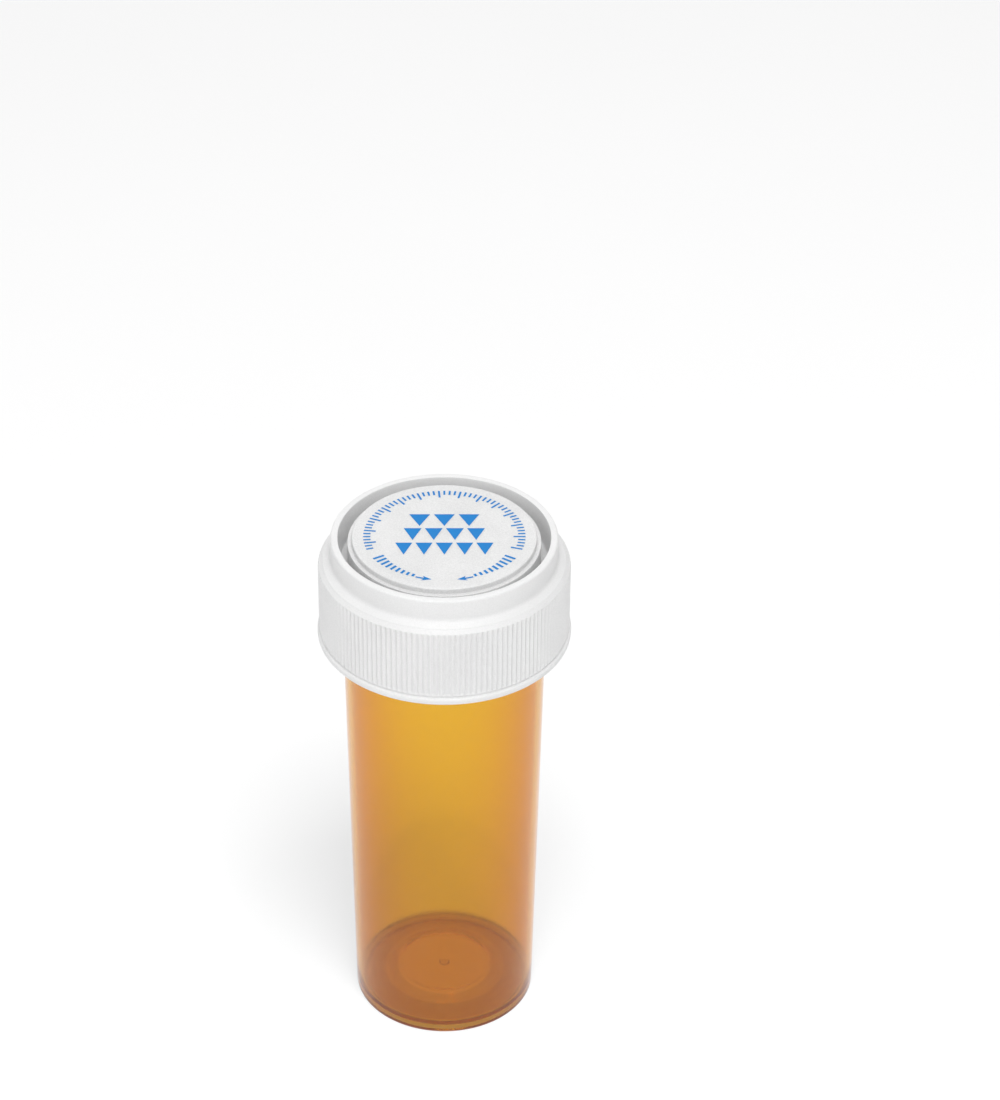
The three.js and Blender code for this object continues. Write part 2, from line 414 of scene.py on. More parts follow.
@dataclass(frozen=True)
class Finish:
    """A plastic's finish.

    Attributes:
        name: the material's name.
        colour: its colour.
        cloud_colour: the colour that its cloudy places go towards.
        roughness: how matt it is.
        variation: how much the roughness varies.
        grain_scale: waves of the fine grain in a metre.
        grain_depth: depth of the fine grain.
        cloud_scale: waves of the cloudiness in a metre.
        speckle: how far the fine grain moves the colour.
        ior: how strongly it bends and reflects light.
        subsurface: share of light that spreads inside it.
        spread: how far that light spreads.
    """

    name: str
    colour: Colour
    cloud_colour: Colour
    roughness: float
    variation: float
    grain_scale: float
    grain_depth: float
    cloud_scale: float
    speckle: float = 0.0
    ior: float = 1.49
    subsurface: float = 0.0
    spread: float = 0.8 * MM

    def surface(self, tree: Tree) -> bpy.types.Node:
        """Adds the Principled shader with its grain, cloudiness and roughness.

        Args:
            tree: the material's node tree.

        Returns:
            The shader node.
        """
        group = tree.add("ShaderNodeGroup", node_tree=bpy.data.node_groups["moulded_surface"])
        group.inputs["Grain Scale"].default_value = self.grain_scale
        group.inputs["Cloud Scale"].default_value = self.cloud_scale
        group.inputs["Speckle"].default_value = self.speckle
        group.inputs["Roughness"].default_value = self.roughness
        group.inputs["Variation"].default_value = self.variation
        shader = tree.add("ShaderNodeBsdfPrincipled")
        mix = tree.add("ShaderNodeMix", data_type="RGBA")
        mix.inputs["A"].default_value = self.colour
        mix.inputs["B"].default_value = self.cloud_colour
        bump = tree.add("ShaderNodeBump", {"Distance": self.grain_depth})
        tree.link(group.outputs["Cloud"], mix.inputs["Factor"])
        tree.link(mix.outputs["Result"], shader.inputs["Base Color"])
        tree.link(group.outputs["Roughness"], shader.inputs["Roughness"])
        tree.link(group.outputs["Height"], bump.inputs["Height"])
        tree.link(bump.outputs["Normal"], shader.inputs["Normal"])
        shader.inputs["IOR"].default_value = self.ior
        shader.inputs["Subsurface Weight"].default_value = self.subsurface
        shader.inputs["Subsurface Radius"].default_value = (1.0, 1.0, 1.0)
        shader.inputs["Subsurface Scale"].default_value = self.spread
        return shader

    def build(self) -> bpy.types.Material:
        """Builds the material.

        Returns:
            The material.
        """
        material = bpy.data.materials.new(self.name)
        material.use_nodes = True
        material.node_tree.nodes.clear()
        tree = Tree(material.node_tree)
        output = tree.add("ShaderNodeOutputMaterial")
        shader = self.surface(tree)
        tree.link(shader.outputs["BSDF"], output.inputs["Surface"])
        self.fill(tree, output, shader)
        return material

    def fill(self, tree: Tree, output: bpy.types.Node, shader: bpy.types.Node) -> None:
        """Leaves an opaque plastic as it is."""


@dataclass(frozen=True)
class ClearFinish(Finish):
    """A clear tinted plastic, which darkens with the depth that light goes through, with painted shade on
    its floor and heel.

    Attributes:
        tint: the colour that passes; what it lacks is absorbed.
        density: how strongly it absorbs, per metre.
        edge_tint: the richer tint where the wall turns away.
        edge_start: how far it has to turn before that starts, from 0 to 1.
        foot_tint: the deeper tint that the wall reaches at its foot.
        foot_height: height where it starts.
        floor_tint_and_painted_shade: the deeper tint of the thick floor's two faces, part its own colour
            and part painted shade standing in for the tube's shade on the table under it.
        floor_height: height that the floor's faces lie under.
        floor_radius: radius that they lie inside.
        heel_tint_and_painted_shade: the deeper tint of the outer wall's heel, part its own colour and part
            painted shade standing in for the shade where the tube stands on the table.
        heel_height: height that the heel lies under.
        soft: how gently the floor's and the heel's tints start.
    """

    tint: Colour = CLEAR
    density: float = 0.0
    edge_tint: Colour = CLEAR
    edge_start: float = 0.12
    foot_tint: Colour = CLEAR
    foot_height: float = 1.0
    # painted shade: part of this tint stands in for the tube's shade on the table under it
    floor_tint_and_painted_shade: Colour = CLEAR
    floor_height: float = 0.0
    floor_radius: float = 0.0
    # painted shade: part of this tint stands in for the shade where the tube stands on the table
    heel_tint_and_painted_shade: Colour = CLEAR
    heel_height: float = 0.0
    soft: float = 0.2 * MM

    def deepen(self, tree: Tree, colour: Socket, share: Socket, tint: Colour) -> Socket:
        """Multiplies a colour by a tint where a mask says.

        Args:
            tree: the material's node tree.
            colour: the colour's socket.
            share: the mask's socket.
            tint: the tint.

        Returns:
            The tinted colour's socket.
        """
        mix = tree.add("ShaderNodeMix", data_type="RGBA", blend_type="MULTIPLY")
        mix.inputs["B"].default_value = tint
        tree.link(share, mix.inputs["Factor"])
        tree.link(colour, mix.inputs["A"])
        return mix.outputs["Result"]

    def floor_tint_and_shade_mask(self, tree: Tree, place: bpy.types.Node) -> Socket:
        """Masks the floor's two faces, which get the floor's deeper tint and painted shade.

        Args:
            tree: the material's node tree.
            place: the node that splits the surface's place.

        Returns:
            A socket that is 1 on them and 0 on the walls.
        """
        flat = tree.add("ShaderNodeCombineXYZ")
        tree.link(place.outputs["X"], flat.inputs["X"])
        tree.link(place.outputs["Y"], flat.inputs["Y"])
        radius = tree.add("ShaderNodeVectorMath", operation="LENGTH")
        tree.link(flat.outputs[0], radius.inputs[0])
        edge = self.floor_radius
        inside = tree.mask(radius.outputs["Value"], edge, edge - self.soft, "SMOOTHSTEP")
        low = tree.combine("LESS_THAN", place.outputs["Z"], self.floor_height)
        return tree.combine("MULTIPLY", inside, low)

    def fill(self, tree: Tree, output: bpy.types.Node, shader: bpy.types.Node) -> None:
        """Makes the plastic clear, tints its depth and paints shade on its floor and heel.

        Args:
            tree: the material's node tree.
            output: its output node.
            shader: its Principled shader.
        """
        shader.inputs["Transmission Weight"].default_value = 1.0
        facing = tree.add("ShaderNodeLayerWeight", {"Blend": 0.5})
        place = tree.add("ShaderNodeSeparateXYZ")
        tree.link(tree.add("ShaderNodeTexCoord").outputs["Object"], place.inputs[0])
        height, heel = place.outputs["Z"], self.heel_height
        layers = (
            (tree.mask(facing.outputs["Facing"], self.edge_start, 1.0), self.edge_tint),
            (tree.mask(height, self.foot_height, 0.0), self.foot_tint),
            # the floor's faces: deeper tint and painted shade of the table under the tube
            (self.floor_tint_and_shade_mask(tree, place), self.floor_tint_and_painted_shade),
            # the heel: deeper tint and painted shade where the tube stands on the table
            (tree.mask(height, heel, heel - self.soft, "SMOOTHSTEP"), self.heel_tint_and_painted_shade),
        )
        colour = shader.inputs["Base Color"].links[0].from_socket
        for share, tint in layers:
            colour = self.deepen(tree, colour, share, tint)
        tree.link(colour, shader.inputs["Base Color"])
        depth = {"Color": self.tint, "Density": self.density}
        absorb = tree.add("ShaderNodeVolumeAbsorption", depth)
        tree.link(absorb.outputs["Volume"], output.inputs["Volume"])


AMBER = ClearFinish(
    name="amber_plastic",
    colour=(0.915, 0.725, 0.15, 1.0),
    cloud_colour=(0.905, 0.705, 0.15, 1.0),
    roughness=0.07,
    variation=0.04,
    grain_scale=2600.0,
    grain_depth=0.004 * MM,
    cloud_scale=70.0,
    ior=1.46,
    tint=(0.975, 0.945, 0.2, 1.0),
    density=1000.0,
    edge_tint=(0.74, 0.22, 0.55, 1.0),
    foot_tint=(1.0, 0.88, 1.0, 1.0),
    foot_height=75.0 * MM,
    # painted shade on the floor, with its own deeper tint
    floor_tint_and_painted_shade=(0.84, 0.58, 1.0, 1.0),
    floor_height=4.2 * MM,
    floor_radius=14.16 * MM,
    # painted shade at the heel, with its own deeper tint
    heel_tint_and_painted_shade=(0.72, 0.62, 0.55, 1.0),
    heel_height=2.4 * MM,
)
WHITE = Finish(
    name="white_plastic",
    colour=(0.815, 0.815, 0.815, 1.0),
    cloud_colour=(0.75, 0.75, 0.75, 1.0),
    roughness=0.36,
    variation=0.12,
    grain_scale=5200.0,
    grain_depth=0.07 * MM,
    cloud_scale=120.0,
    speckle=2.0,
    subsurface=0.25,
)
PLUG = Finish(
    name="plug_plastic",
    colour=(0.775, 0.775, 0.775, 1.0),
    cloud_colour=(0.665, 0.665, 0.665, 1.0),
    roughness=0.42,
    variation=0.1,
    grain_scale=5000.0,
    grain_depth=0.07 * MM,
    cloud_scale=150.0,
    speckle=2.5,
    subsurface=0.5,
    spread=1.0 * MM,
)
SEAL = Finish(
    name="seal_plastic",
    colour=(0.78, 0.79, 0.775, 1.0),
    cloud_colour=(0.72, 0.73, 0.715, 1.0),
    roughness=0.5,
    variation=0.15,
    grain_scale=1800.0,
    grain_depth=0.03 * MM,
    cloud_scale=200.0,
    subsurface=0.2,
)
INK = Finish(
    name="print_ink",
    colour=(0.0, 0.175, 0.53, 1.0),
    cloud_colour=(0.0, 0.215, 0.58, 1.0),
    roughness=0.5,
    variation=0.15,
    grain_scale=4200.0,
    grain_depth=0.02 * MM,
    cloud_scale=500.0,
    ior=1.35,
)


def place_piece(
    piece: bpy.types.Object,
    finish: bpy.types.Material,
    body: Body,
    node: str | None = None,
) -> None:
    """Gives a piece its finish and its body, and hides the CAD node that it stands for.

    Args:
        piece: the piece.
        finish: its material.
        body: the body that it rides on.
        node: the CAD node that it replaces, if any.
    """
    piece.data.materials.append(finish)
    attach(piece, body.value)
    if node is not None:
        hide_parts(node)
    LOG.info("%s: %d faces on body %s", piece.name, len(piece.data.polygons), body.value)


# ---------- vial ----------


@dataclass
class VialBody:
    """The amber tube, with its floor, its rim thread and its locking lugs.

    Attributes:
        rim_height: height of the rim.
        lug_radius: outer radius of the locking lugs.
        skirt_bottom: height where the cap's skirt starts.
        foot_radius: radius of the outer wall at the standing face.
        draft: radius that it gains with height.
        recess: height of the space under the floor, inside the ring that the vial stands on.
        ring_inset: how far that ring lies inside the wall.
        centre_radius: radius of the floor's raised centre.
        slope_radius: radius where the slope up to it starts.
        centre_rise: how far both faces of the floor rise there.
        gate_radius: radius of the moulding gate's stub under the centre.
        lug_setback: how far the lugs lie above the skirt's lower edge.
        notch_depth: depth of the notch that holds the cap, in a lug's lower side.
        stop_length: how far the leg that stops the cap reaches down below a lug.
        thread_lead: height that the rim's thread gains in a turn.
        thread_fade: angle over which it runs out at each end.
        fine_gap: greatest gap between the outline's points on the neck.
        wide_gap: greatest gap between them elsewhere.
    """

    rim_height: float
    lug_radius: float
    skirt_bottom: float
    foot_radius: float = 15.04 * MM
    draft: float = 0.018
    wall: float = 1.2 * MM
    wall_at_floor: float = 0.7 * MM
    foot_rounding: float = 0.3 * MM
    inside_rounding: float = 0.22 * MM
    rim_rounding: float = 0.588 * MM
    recess: float = 0.84 * MM
    floor_top: float = 2.1 * MM
    ring_inset: float = 0.3 * MM
    ring_width: float = 1.09 * MM
    centre_radius: float = 7.5 * MM
    slope_radius: float = 10.2 * MM
    centre_rise: float = 1.6 * MM
    gate_radius: float = 0.7 * MM
    gate_height: float = 0.25 * MM
    edge_rounding: float = 0.15 * MM
    recess_rounding: float = 0.75 * MM
    slope_rounding: float = 4.5 * MM
    hollow_rounding: float = 1.5 * MM
    centre_rounding: float = 0.9 * MM
    lug_count: int = 6
    lug_width: float = math.radians(30)
    lug_setback: float = 2.95 * MM
    lug_height: float = 3.0 * MM
    notch_width: float = math.radians(18)
    notch_depth: float = 1.6 * MM
    stop_width: float = math.radians(4)
    stop_length: float = 2.2 * MM
    thread_proud: float = 0.34 * MM
    thread_half_width: float = 0.6 * MM
    thread_lead: float = 1.9 * MM
    thread_turns: float = 0.9
    thread_below_rim: float = 1.5 * MM
    thread_fade: float = math.radians(10)
    fine_gap: float = 0.15 * MM
    wide_gap: float = 3.0 * MM
    columns: int = 360

    def outer_at(self, height: float | np.ndarray) -> float | np.ndarray:
        """Gives the outer wall's radius at a height."""
        return self.foot_radius + self.draft * height

    def corners(self) -> list[Corner]:
        """Gives the outline, from the gate under the floor to the middle of the floor's upper face.

        Returns:
            The corners.
        """
        ring_outer = self.foot_radius - self.ring_inset
        ring_inner = ring_outer - self.ring_width
        rim_outer = float(self.outer_at(self.rim_height))
        inner_low = float(self.outer_at(self.floor_top)) - self.wall_at_floor
        floor, raised = self.floor_top, self.floor_top + self.centre_rise
        under, hollow = self.recess, self.recess + self.centre_rise
        soft = self.edge_rounding
        return [
            Corner(0, hollow - self.gate_height),
            Corner(self.gate_radius, hollow - self.gate_height, soft),
            Corner(self.gate_radius + soft, hollow, soft),
            Corner(self.centre_radius, hollow, self.hollow_rounding),
            Corner(self.slope_radius, under, self.slope_rounding),
            Corner(ring_inner, under, self.recess_rounding),
            Corner(ring_inner, 0, soft),
            Corner(ring_outer, 0, soft),
            Corner(self.foot_radius, soft / 3, self.foot_rounding),
            Corner(rim_outer, self.rim_height, self.rim_rounding),
            Corner(rim_outer - self.wall, self.rim_height, self.rim_rounding),
            Corner(inner_low, floor, self.inside_rounding),
            Corner(self.slope_radius, floor, self.slope_rounding),
            Corner(self.centre_radius, raised, self.centre_rounding),
            Corner(0, raised),
        ]

    def spacing(self, radius: float, height: float) -> float:
        """Gives a fine spacing where the neck has relief, and a wide one elsewhere."""
        outside = radius > float(self.outer_at(height)) - self.wall / 2
        return self.fine_gap if outside and height > self.skirt_bottom - MM else self.wide_gap

    def lugs(self, angle: np.ndarray, height: np.ndarray) -> np.ndarray:
        """Masks the locking lugs, each a block with a notch below and a leg that stops the cap.

        Args:
            angle: angles round the axis.
            height: heights.

        Returns:
            1 on a lug and 0 off it.
        """
        soft_turn, soft_rise = math.radians(0.9), 0.2 * MM
        low = self.skirt_bottom + self.lug_setback
        turn = from_nearest(angle, self.lug_count, TURN / self.lug_count / 2)
        half, side = self.lug_width / 2, self.notch_width / 2
        notch_top = low + self.notch_depth
        across = window(turn, -half, half, soft_turn)
        block = across * window(height, low, low + self.lug_height, soft_rise)
        below = 1 - ramp(height, notch_top, notch_top + soft_rise)
        notch = window(turn, -side, side, soft_turn) * below
        stop = window(turn, -half, -half + self.stop_width, soft_turn)
        leg = stop * window(height, low - self.stop_length, notch_top, soft_rise)
        return np.maximum(block * (1 - notch), leg)

    def thread(self, angle: np.ndarray, height: np.ndarray) -> np.ndarray:
        """Gives how far the rim's thread stands out of the wall.

        Args:
            angle: angles round the axis.
            height: heights.

        Returns:
            The thread's height above the wall.
        """
        low = self.rim_height - self.thread_below_rim - self.thread_lead * self.thread_turns
        middle = low + self.thread_lead * angle / TURN
        across = np.clip(1 - ((height - middle) / self.thread_half_width) ** 2, 0, 1)
        fade = self.thread_fade
        ends = window(angle, fade / 2, TURN * self.thread_turns - fade / 2, fade)
        return self.thread_proud * np.sqrt(across) * ends

    def relief(self, angle: np.ndarray, radius: np.ndarray, height: np.ndarray) -> Shifted:
        """Raises the lugs and the thread on the outer wall of the neck.

        Args:
            angle: angles round the axis.
            radius: radii of the plain wall.
            height: heights.

        Returns:
            The radii and heights with the relief.
        """
        wall = self.outer_at(height)
        outside = (radius > wall - self.wall / 4) & (height > self.skirt_bottom - MM)
        lugs = self.lugs(angle, height) * (self.lug_radius - wall)
        return radius + np.where(outside, np.maximum(lugs, self.thread(angle, height)), 0), height

    def build(self) -> bpy.types.Object:
        """Builds the tube, which doesn't shade the matt table that it stands on.

        Returns:
            The piece.
        """
        tube = Turned("amber_tube", self.corners(), False, self.columns, self.spacing, self.relief)
        made = tube.build()
        made.visible_diffuse = False
        return made

    def dress(self, piece: bpy.types.Object, finish: bpy.types.Material) -> None:
        """Puts the tube on its body in amber plastic."""
        place_piece(piece, finish, Body.VIAL, "vial_body")


# ---------- cap ----------


@dataclass
class CapShell:
    """The white cap: flange, knurled skirt, shoulder, collar, web, lugs and collar thread.

    Attributes:
        bottom: height of the skirt's lower edge.
        top: height of the collar's rim.
        flange_radius: the flange's outer radius.
        crest_inset: how far the ribs' crests lie inside the flange.
        neck_inset: how far the groove over the flange lies inside it.
        rib_steps: how many columns of the mesh a rib has.
        rib_end: height over which a rib fades out.
        edge_drop: how far below the rim the skirt's upper bevel starts.
        step_height: height of the small step over the bevel.
        shoulder_drop: how far below the rim the shoulder meets the collar.
        lug_setback: how far the inner lugs lie above the skirt's lower edge.
        thread_width: how far round the collar each length of its thread goes.
        lip_share: rounding of the rim's outer edge, as a share of the collar's wall.
        fine_gap: greatest gap between the outline's points at the ribs' ends.
        thread_gap: greatest gap on the collar's thread.
        lug_gap: greatest gap on the lugs.
        rib_gap: greatest gap along the ribs.
        wide_gap: greatest gap elsewhere.
    """

    bottom: float
    top: float
    flange_radius: float
    skirt_inner: float = 18.604 * MM
    crest_inset: float = 0.28 * MM
    flange_height: float = 1.1 * MM
    neck_inset: float = 0.46 * MM
    neck_height: float = 0.35 * MM
    rib_count: int = 144
    rib_depth: float = 0.28 * MM
    rib_steps: int = 6
    rib_bottom: float = 1.6 * MM
    rib_end: float = 0.45 * MM
    edge_drop: float = 5.15 * MM
    bevel: float = 0.68 * MM
    step_width: float = 0.1 * MM
    step_height: float = 0.18 * MM
    shoulder_drop: float = 3.6 * MM
    collar_outer: float = 18.06 * MM
    collar_inner: float = 16.89 * MM
    collar_fillet: float = 0.8 * MM
    edge_rounding: float = 0.12 * MM
    flange_rounding: float = 0.45 * MM
    inner_fillet: float = 0.4 * MM
    web_fillet: float = 0.6 * MM
    rib_rise: float = 0.2 * MM
    collar_depth: float = 5.5 * MM
    web: float = 1.5 * MM
    hole_radius: float = 14.0 * MM
    lug_count: int = 6
    lug_width: float = math.radians(14)
    lug_setback: float = 0.45 * MM
    lug_height: float = 2.2 * MM
    lug_radius: float = 17.024 * MM
    thread_proud: float = 0.34 * MM
    thread_count: int = 2
    thread_width: float = math.radians(56)
    thread_above_web: float = 1.45 * MM
    thread_half_width: float = 0.6 * MM
    lip_share: float = 0.3
    fine_gap: float = 0.15 * MM
    thread_gap: float = 0.2 * MM
    lug_gap: float = 0.25 * MM
    rib_gap: float = 2.0 * MM
    wide_gap: float = 4.0 * MM
    corner_steps: int = 4

    @property
    def crest(self) -> float:
        """Radius of the ribs' crests."""
        return self.flange_radius - self.crest_inset

    @property
    def web_top(self) -> float:
        """Height of the web's upper face."""
        return self.top - self.collar_depth

    def corners(self) -> list[Corner]:
        """Gives the outline, from the skirt's lower edge round the outside and back.

        Returns:
            The corners.
        """
        bottom, top, crest = self.bottom, self.top, self.crest
        flange_top = bottom + self.flange_height
        neck = self.flange_radius - self.neck_inset
        edge = top - self.edge_drop
        shoulder = top - self.shoulder_drop
        soft = self.edge_rounding
        lip = self.lip_share * (self.collar_outer - self.collar_inner)
        bevel_in, step_in = crest - self.bevel, crest - self.bevel - self.step_width
        return [
            Corner(self.skirt_inner, bottom, self.flange_rounding),
            Corner(self.flange_radius, bottom, self.flange_rounding),
            Corner(self.flange_radius, flange_top, self.inner_fillet),
            Corner(neck, flange_top + soft, soft),
            Corner(neck, flange_top + self.neck_height, soft),
            Corner(crest, flange_top + self.neck_height + self.rib_rise, soft),
            Corner(crest, edge, 4 * soft),
            Corner(bevel_in, edge + self.bevel, 2 * soft),
            Corner(step_in, edge + self.bevel + self.step_height, soft / 2),
            Corner(self.collar_outer, shoulder, self.collar_fillet),
            Corner(self.collar_outer, top, lip),
            Corner(self.collar_inner, top, soft),
            Corner(self.collar_inner, self.web_top, self.inner_fillet),
            Corner(self.hole_radius, self.web_top, soft),
            Corner(self.hole_radius, self.web_top - self.web, soft),
            Corner(self.skirt_inner, self.web_top - self.web, self.web_fillet),
        ]

    def spacing(self, radius: float, height: float) -> float:
        """Gives a fine spacing at the ends of the ribs, on the lugs and on the collar's thread.

        Args:
            radius: the point's radius.
            height: its height.

        Returns:
            The greatest gap to the next point.
        """
        outside = radius > self.skirt_inner + 0.5 * MM
        low, high = self.bottom + self.rib_bottom, self.top - self.edge_drop
        if outside and self.bottom < height < high:
            near_end = min(abs(height - low), abs(height - high)) < 0.6 * MM
            return self.fine_gap if near_end else self.rib_gap
        lug_top = self.bottom + self.lug_setback + self.lug_height
        if not outside and height < lug_top + 0.3 * MM and radius > self.collar_outer:
            return self.lug_gap
        if radius < self.collar_outer and self.web_top < height < self.web_top + 2.4 * MM:
            return self.thread_gap
        return self.wide_gap

    def ribs(self, angle: np.ndarray, height: np.ndarray) -> np.ndarray:
        """Gives the depth of the grooves between the ribs, which fade out at both ends.

        Args:
            angle: angles round the axis.
            height: heights.

        Returns:
            The depth.
        """
        over = 0.1 * MM
        low, high = self.bottom + self.rib_bottom, self.top - self.edge_drop + over
        middle, half = (low + high) / 2, (high - low) / 2
        share = np.clip((half - np.abs(height - middle)) / self.rib_end, 0, 1)
        ends = np.sqrt(1 - (1 - share) ** 2)
        crown = 0.5 - 0.5 * np.cos(angle * self.rib_count)
        return self.rib_depth * (1 - crown) * ends

    def lugs(self, angle: np.ndarray, height: np.ndarray) -> np.ndarray:
        """Masks the lugs inside the skirt.

        Args:
            angle: angles round the axis.
            height: heights.

        Returns:
            1 on a lug and 0 off it.
        """
        soft_turn, soft_rise = math.radians(0.7), 0.2 * MM
        low = self.bottom + self.lug_setback + soft_rise / 2
        high = low + self.lug_height - soft_rise
        turn = from_nearest(angle, self.lug_count, 0.0)
        across = window(turn, -self.lug_width / 2, self.lug_width / 2, soft_turn)
        return across * window(height, low, high, soft_rise)

    def collar_thread(self, angle: np.ndarray, height: np.ndarray) -> np.ndarray:
        """Gives how far the two lengths of thread stand out of the collar's inner wall.

        Args:
            angle: angles round the axis.
            height: heights.

        Returns:
            The thread's height above the wall.
        """
        turn = from_nearest(angle, self.thread_count, TURN / 4)
        half, soft_turn = self.thread_width / 2, math.radians(4)
        across = window(turn, -half, half, soft_turn)
        offset = (height - self.web_top - self.thread_above_web) / self.thread_half_width
        return self.thread_proud * across * np.sqrt(np.clip(1 - offset**2, 0, 1))

    def relief(self, angle: np.ndarray, radius: np.ndarray, height: np.ndarray) -> Shifted:
        """Cuts the grooves and raises the lugs and the collar's thread.

        Args:
            angle: angles round the axis.
            radius: radii of the plain walls.
            height: heights.

        Returns:
            The radii and heights with the relief.
        """
        rib_base = self.bottom + self.flange_height + self.neck_height
        knurl = (radius > self.crest - 0.3 * MM) & (height > rib_base)
        skirt = (np.abs(radius - self.skirt_inner) < ON_WALL) & (height < self.web_top - self.web - MM)
        collar = (np.abs(radius - self.collar_inner) < ON_WALL) & (height > self.web_top)
        cut = np.where(knurl, self.ribs(angle, height), 0)
        lug = np.where(skirt, self.lugs(angle, height) * (self.skirt_inner - self.lug_radius), 0)
        thread = np.where(collar, self.collar_thread(angle, height), 0)
        return radius - cut - lug - thread, height

    def build(self) -> bpy.types.Object:
        """Builds the shell.

        Returns:
            The piece.
        """
        columns, steps = self.rib_count * self.rib_steps, self.corner_steps
        shell = Turned("cap_moulding", self.corners(), True, columns, self.spacing, self.relief, steps)
        return shell.build()

    def dress(self, piece: bpy.types.Object, finish: bpy.types.Material) -> None:
        """Puts the shell on its body in white plastic."""
        place_piece(piece, finish, Body.CAP, "cap_shell")


@dataclass
class PlugDisc:
    """The plug that snaps through the cap's web and carries the print on its upper face.

    Attributes:
        radius: radius of its wall.
        bottom: height of its nose.
        top: height that the print on its face stays under.
        print_relief: how far the bare face lies below that.
        ledge_depth: depth of the step round the face.
        seat_depth: how far below the top it seats on the cap's web.
        bead_proud: how far the snap bead stands out under the web.
        gap: greatest gap between the outline's points.
    """

    radius: float
    bottom: float
    top: float
    print_relief: float = 0.03 * MM
    ledge_width: float = 0.65 * MM
    ledge_depth: float = 0.95 * MM
    seat_depth: float = 5.35 * MM
    neck_inset: float = 1.5 * MM
    neck_wall: float = 1.05 * MM
    plate: float = 1.3 * MM
    bead_proud: float = 0.75 * MM
    bead_height: float = 1.1 * MM
    nose_height: float = 0.5 * MM
    edge_rounding: float = 0.15 * MM
    plate_fillet: float = 0.8 * MM
    gap: float = 1.2 * MM
    columns: int = 256

    @property
    def face_height(self) -> float:
        """Height of the bare printed face, under the ink."""
        return self.top - self.print_relief

    def corners(self) -> list[Corner]:
        """Gives the outline, from under the plate round the nose and the wall to the top.

        Returns:
            The corners.
        """
        neck = self.radius - self.neck_inset
        hollow = neck - self.neck_wall
        bead_low = self.bottom + self.nose_height
        bead_top = bead_low + self.bead_height
        seat = self.top - self.seat_depth
        ledge = self.top - self.ledge_depth
        face = self.radius - self.ledge_width
        soft = self.edge_rounding
        return [
            Corner(0, self.top - self.plate),
            Corner(hollow, self.top - self.plate, self.plate_fillet),
            Corner(hollow, self.bottom, 2 * soft),
            Corner(neck - self.nose_height / 2, self.bottom, soft),
            Corner(neck, bead_low, soft),
            Corner(neck + self.bead_proud, bead_low + self.bead_height / 2, soft),
            Corner(neck + self.bead_proud, bead_low + 0.75 * self.bead_height, soft),
            Corner(neck, bead_top, soft),
            Corner(neck, seat, soft),
            Corner(self.radius, seat, 2 * soft),
            Corner(self.radius, ledge, 0.4 * soft),
            Corner(face, ledge, 0.6 * soft),
            Corner(face, self.face_height, 1.6 * soft),
            Corner(0, self.face_height),
        ]

    def spacing(self, radius: float, height: float) -> float:
        """Gives the same spacing everywhere."""
        return self.gap

    def build(self) -> bpy.types.Object:
        """Builds the plug."""
        return Turned("snap_plug", self.corners(), False, self.columns, self.spacing).build()

    def dress(self, piece: bpy.types.Object, finish: bpy.types.Material) -> None:
        """Puts the plug on its body in satin white plastic."""
        place_piece(piece, finish, Body.CAP, "plug_disc")


@dataclass
class SpringSeal:
    """The soft ring between the rim and the cap's web.

    Attributes:
        outer: its outer radius.
        bottom: height of its sealing pad.
        top: height of its upper face.
        pad_inner: inner radius of the pad that seals on the rim.
        ripple: depth of the turned ripples in the upper face.
        pad_slope: how far the pad's inner side slopes outwards.
        gap: greatest gap between the outline's points.
    """

    outer: float
    bottom: float
    top: float
    hole: float = 14.0 * MM
    web: float = 0.7 * MM
    pad_inner: float = 15.08 * MM
    pad_outer: float = 16.78 * MM
    ripple: float = 0.06 * MM
    ripple_width: float = 0.8 * MM
    pad_slope: float = 0.27 * MM
    edge_rounding: float = 0.12 * MM
    gap: float = 0.1 * MM
    columns: int = 256

    def corners(self) -> list[Corner]:
        """Gives the outline, with the pad below.

        Returns:
            The corners.
        """
        low = self.top - self.web
        soft = self.edge_rounding
        return [
            Corner(self.hole, low, soft),
            Corner(self.pad_inner - self.pad_slope, low, soft),
            Corner(self.pad_inner, self.bottom, soft),
            Corner(self.pad_outer, self.bottom, soft),
            Corner(self.outer, low, soft),
            Corner(self.outer, self.top, 2 * soft),
            Corner(self.hole, self.top, 2 * soft),
        ]

    def spacing(self, radius: float, height: float) -> float:
        """Gives the same fine spacing everywhere, for the ripples."""
        return self.gap

    def relief(self, angle: np.ndarray, radius: np.ndarray, height: np.ndarray) -> Shifted:
        """Sinks fine turned ripples in the upper face.

        Args:
            angle: angles round the axis.
            radius: radii.
            height: heights of the plain face.

        Returns:
            The radii and heights with the ripples.
        """
        on_top = height > self.top - ON_WALL
        wave = 0.5 - 0.5 * np.cos(TURN * (radius - self.hole) / self.ripple_width)
        return radius, height - np.where(on_top, self.ripple * wave, 0)

    def build(self) -> bpy.types.Object:
        """Builds the seal."""
        return Turned("sealing_ring", self.corners(), True, self.columns, self.spacing, self.relief).build()

    def dress(self, piece: bpy.types.Object, finish: bpy.types.Material) -> None:
        """Puts the seal on its body in milky plastic."""
        place_piece(piece, finish, Body.SEAL, "spring_seal")


# ---------- print ----------


